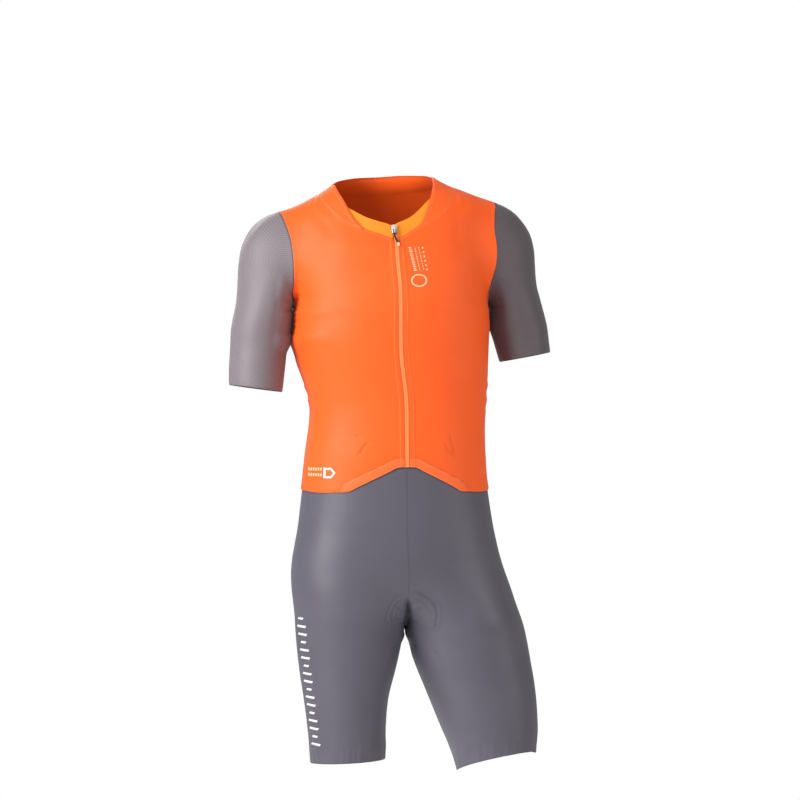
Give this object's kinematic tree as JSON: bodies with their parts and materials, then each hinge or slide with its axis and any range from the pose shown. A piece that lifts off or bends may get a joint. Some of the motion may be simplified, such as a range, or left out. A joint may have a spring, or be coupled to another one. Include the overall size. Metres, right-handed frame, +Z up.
{
  "type": "cycling skinsuit",
  "caption": "Close-fitting one-piece cycling skinsuit shown worn, with short sleeves, short legs, a V neck, a full front zip and a padded seat.",
  "frame": {"origin": "middle of the neck opening, at the height where the suit sits on the wearer's shoulders", "axes": "+Z up, +X to the wearer's left, so the front with the zip faces -Y"},
  "size_m": [0.5071, 0.2566, 0.9382],
  "materials": {
    "orange_cloth": "smooth satin stretch jersey",
    "amber_cloth": "smooth satin stretch jersey",
    "sleeve_cloth": "fine ribbed stretch mesh",
    "shorts_cloth": "smooth satin stretch jersey",
    "pad": "brushed microfibre over foam",
    "zip_coil": "fine nylon coil",
    "zip_metal": "satin",
    "zip_pull": "matt",
    "zip_tip": "matt"
  },
  "bodies": {
    "garment": {"front_right": "orange_cloth", "front_left": "orange_cloth", "back": "orange_cloth", "neck_band": "orange_cloth", "neck_insert_right": "amber_cloth", "neck_insert_left": "amber_cloth", "sleeve_right": "sleeve_cloth", "sleeve_left": "sleeve_cloth", "shorts_right": "shorts_cloth", "shorts_left": "shorts_cloth", "seat_pad": "pad", "zip_coil": "zip_coil", "zip_slider": "zip_metal"},
    "pull": {"zip_pull": "zip_pull", "zip_pull_tip": "zip_tip"}
  },
  "joints": [
    {"name": "pull_hinge", "type": "hinge", "parent": "garment", "child": "pull", "pos_m": [0.0057, -0.09899, -0.08112], "axis": [-1, 0, 0], "range_deg": [0, 150]}
  ]
}
